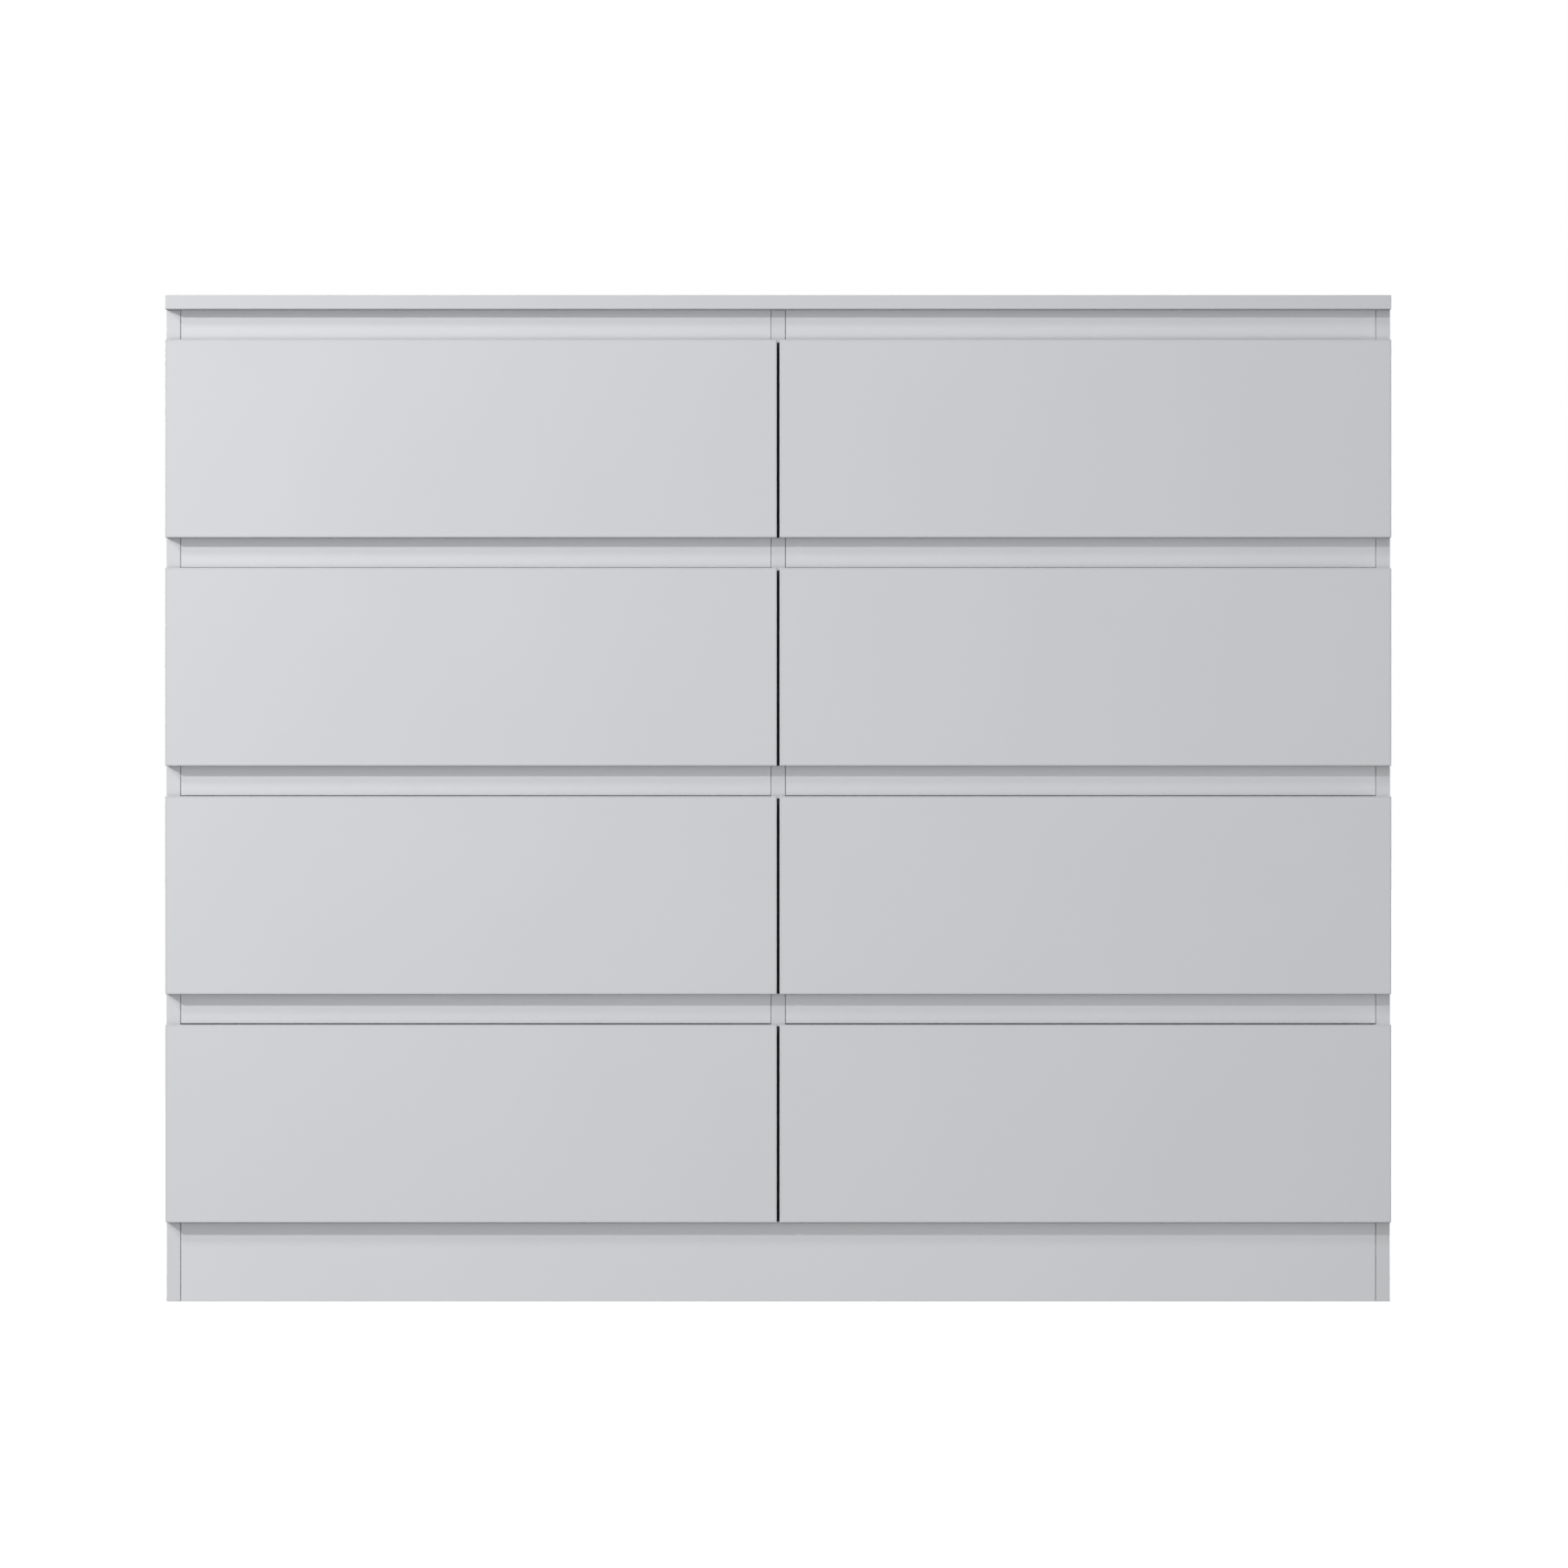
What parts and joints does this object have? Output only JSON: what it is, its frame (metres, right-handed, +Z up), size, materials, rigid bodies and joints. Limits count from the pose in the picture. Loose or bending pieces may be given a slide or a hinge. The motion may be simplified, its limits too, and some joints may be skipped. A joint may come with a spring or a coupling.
{
  "type": "dresser with drawers",
  "caption": "Wide matt light grey dresser with side-by-side columns of handleless drawers, a grip gap above each overlay front, a plinth base and full-extension runners.",
  "frame": {"origin": "on the floor, at the middle of the width and of the depth", "axes": "+Z up, +X to the right as seen from the front, and the drawers open towards -Y"},
  "size_m": [1.38, 0.48, 1.134],
  "materials": {
    "carcass_board": "matte light grey melamine on particleboard",
    "front_board": "matte light grey melamine on particleboard",
    "drawer_board": "off-white foil on particleboard",
    "back_sheet": "raw hardboard outside, printed light grey inside",
    "drawer_sheet": "hardboard, lacquered off-white on top",
    "runner_steel": "rolled, bright zinc plated",
    "cam_metal": "die-cast zinc, as cast",
    "steel_fittings": "pressed, zinc plated",
    "cap_plastic": "off-white moulded plastic, fine texture",
    "lever_plastic": "black moulded plastic, fine texture",
    "felt": "black needle felt"
  },
  "bodies": {
    "carcass": {"side_panel_left": "carcass_board", "side_panel_right": "carcass_board", "top_panel": "carcass_board", "centre_divider": "carcass_board", "bottom_panel": "carcass_board", "plinth_boards": "carcass_board", "cross_rails": "carcass_board", "back_panels": "back_sheet", "back_nails": "steel_fittings", "cam_fittings": "cam_metal", "wall_runners": "runner_steel", "wall_brackets": "steel_fittings"},
    "drawer_1_left": {"drawer_front_1_left": "front_board", "drawer_sides_1_left": "drawer_board", "drawer_back_1_left": "drawer_board", "drawer_bottom_1_left": "drawer_sheet", "drawer_runners_1_left": "runner_steel"},
    "slider_1_left": {"middle_runners_1_left": "runner_steel"},
    "drawer_1_right": {"drawer_front_1_right": "front_board", "drawer_sides_1_right": "drawer_board", "drawer_back_1_right": "drawer_board", "drawer_bottom_1_right": "drawer_sheet", "drawer_runners_1_right": "runner_steel"},
    "slider_1_right": {"middle_runners_1_right": "runner_steel"},
    "drawer_2_left": {"drawer_front_2_left": "front_board", "drawer_sides_2_left": "drawer_board", "drawer_back_2_left": "drawer_board", "drawer_bottom_2_left": "drawer_sheet", "drawer_runners_2_left": "runner_steel"},
    "slider_2_left": {"middle_runners_2_left": "runner_steel"},
    "drawer_2_right": {"drawer_front_2_right": "front_board", "drawer_sides_2_right": "drawer_board", "drawer_back_2_right": "drawer_board", "drawer_bottom_2_right": "drawer_sheet", "drawer_runners_2_right": "runner_steel"},
    "slider_2_right": {"middle_runners_2_right": "runner_steel"},
    "drawer_3_left": {"drawer_front_3_left": "front_board", "drawer_sides_3_left": "drawer_board", "drawer_back_3_left": "drawer_board", "drawer_bottom_3_left": "drawer_sheet", "drawer_runners_3_left": "runner_steel"},
    "slider_3_left": {"middle_runners_3_left": "runner_steel"},
    "drawer_3_right": {"drawer_front_3_right": "front_board", "drawer_sides_3_right": "drawer_board", "drawer_back_3_right": "drawer_board", "drawer_bottom_3_right": "drawer_sheet", "drawer_runners_3_right": "runner_steel"},
    "slider_3_right": {"middle_runners_3_right": "runner_steel"},
    "drawer_4_left": {"drawer_front_4_left": "front_board", "drawer_sides_4_left": "drawer_board", "drawer_back_4_left": "drawer_board", "drawer_bottom_4_left": "drawer_sheet", "drawer_runners_4_left": "runner_steel"},
    "slider_4_left": {"middle_runners_4_left": "runner_steel"},
    "drawer_4_right": {"drawer_front_4_right": "front_board", "drawer_sides_4_right": "drawer_board", "drawer_back_4_right": "drawer_board", "drawer_bottom_4_right": "drawer_sheet", "drawer_runners_4_right": "runner_steel"},
    "slider_4_right": {"middle_runners_4_right": "runner_steel"}
  },
  "joints": [
    {"name": "drawer_1_left_slide", "type": "slide", "parent": "carcass", "child": "drawer_1_left", "axis": [0, -1, 0], "range_m": [0, 0.44]},
    {"name": "slider_1_left_slide", "type": "slide", "parent": "carcass", "child": "slider_1_left", "axis": [0, -1, 0], "range_m": [0, 0.22]},
    {"name": "drawer_1_right_slide", "type": "slide", "parent": "carcass", "child": "drawer_1_right", "axis": [0, -1, 0], "range_m": [0, 0.44]},
    {"name": "slider_1_right_slide", "type": "slide", "parent": "carcass", "child": "slider_1_right", "axis": [0, -1, 0], "range_m": [0, 0.22]},
    {"name": "drawer_2_left_slide", "type": "slide", "parent": "carcass", "child": "drawer_2_left", "axis": [0, -1, 0], "range_m": [0, 0.44]},
    {"name": "slider_2_left_slide", "type": "slide", "parent": "carcass", "child": "slider_2_left", "axis": [0, -1, 0], "range_m": [0, 0.22]},
    {"name": "drawer_2_right_slide", "type": "slide", "parent": "carcass", "child": "drawer_2_right", "axis": [0, -1, 0], "range_m": [0, 0.44]},
    {"name": "slider_2_right_slide", "type": "slide", "parent": "carcass", "child": "slider_2_right", "axis": [0, -1, 0], "range_m": [0, 0.22]},
    {"name": "drawer_3_left_slide", "type": "slide", "parent": "carcass", "child": "drawer_3_left", "axis": [0, -1, 0], "range_m": [0, 0.44]},
    {"name": "slider_3_left_slide", "type": "slide", "parent": "carcass", "child": "slider_3_left", "axis": [0, -1, 0], "range_m": [0, 0.22]},
    {"name": "drawer_3_right_slide", "type": "slide", "parent": "carcass", "child": "drawer_3_right", "axis": [0, -1, 0], "range_m": [0, 0.44]},
    {"name": "slider_3_right_slide", "type": "slide", "parent": "carcass", "child": "slider_3_right", "axis": [0, -1, 0], "range_m": [0, 0.22]},
    {"name": "drawer_4_left_slide", "type": "slide", "parent": "carcass", "child": "drawer_4_left", "axis": [0, -1, 0], "range_m": [0, 0.44]},
    {"name": "slider_4_left_slide", "type": "slide", "parent": "carcass", "child": "slider_4_left", "axis": [0, -1, 0], "range_m": [0, 0.22]},
    {"name": "drawer_4_right_slide", "type": "slide", "parent": "carcass", "child": "drawer_4_right", "axis": [0, -1, 0], "range_m": [0, 0.44]},
    {"name": "slider_4_right_slide", "type": "slide", "parent": "carcass", "child": "slider_4_right", "axis": [0, -1, 0], "range_m": [0, 0.22]}
  ],
  "couplings": [
    {"joint": "slider_1_left_slide", "follows": "drawer_1_left_slide", "ratio": 0.5},
    {"joint": "slider_1_right_slide", "follows": "drawer_1_right_slide", "ratio": 0.5},
    {"joint": "slider_2_left_slide", "follows": "drawer_2_left_slide", "ratio": 0.5},
    {"joint": "slider_2_right_slide", "follows": "drawer_2_right_slide", "ratio": 0.5},
    {"joint": "slider_3_left_slide", "follows": "drawer_3_left_slide", "ratio": 0.5},
    {"joint": "slider_3_right_slide", "follows": "drawer_3_right_slide", "ratio": 0.5},
    {"joint": "slider_4_left_slide", "follows": "drawer_4_left_slide", "ratio": 0.5},
    {"joint": "slider_4_right_slide", "follows": "drawer_4_right_slide", "ratio": 0.5}
  ]
}
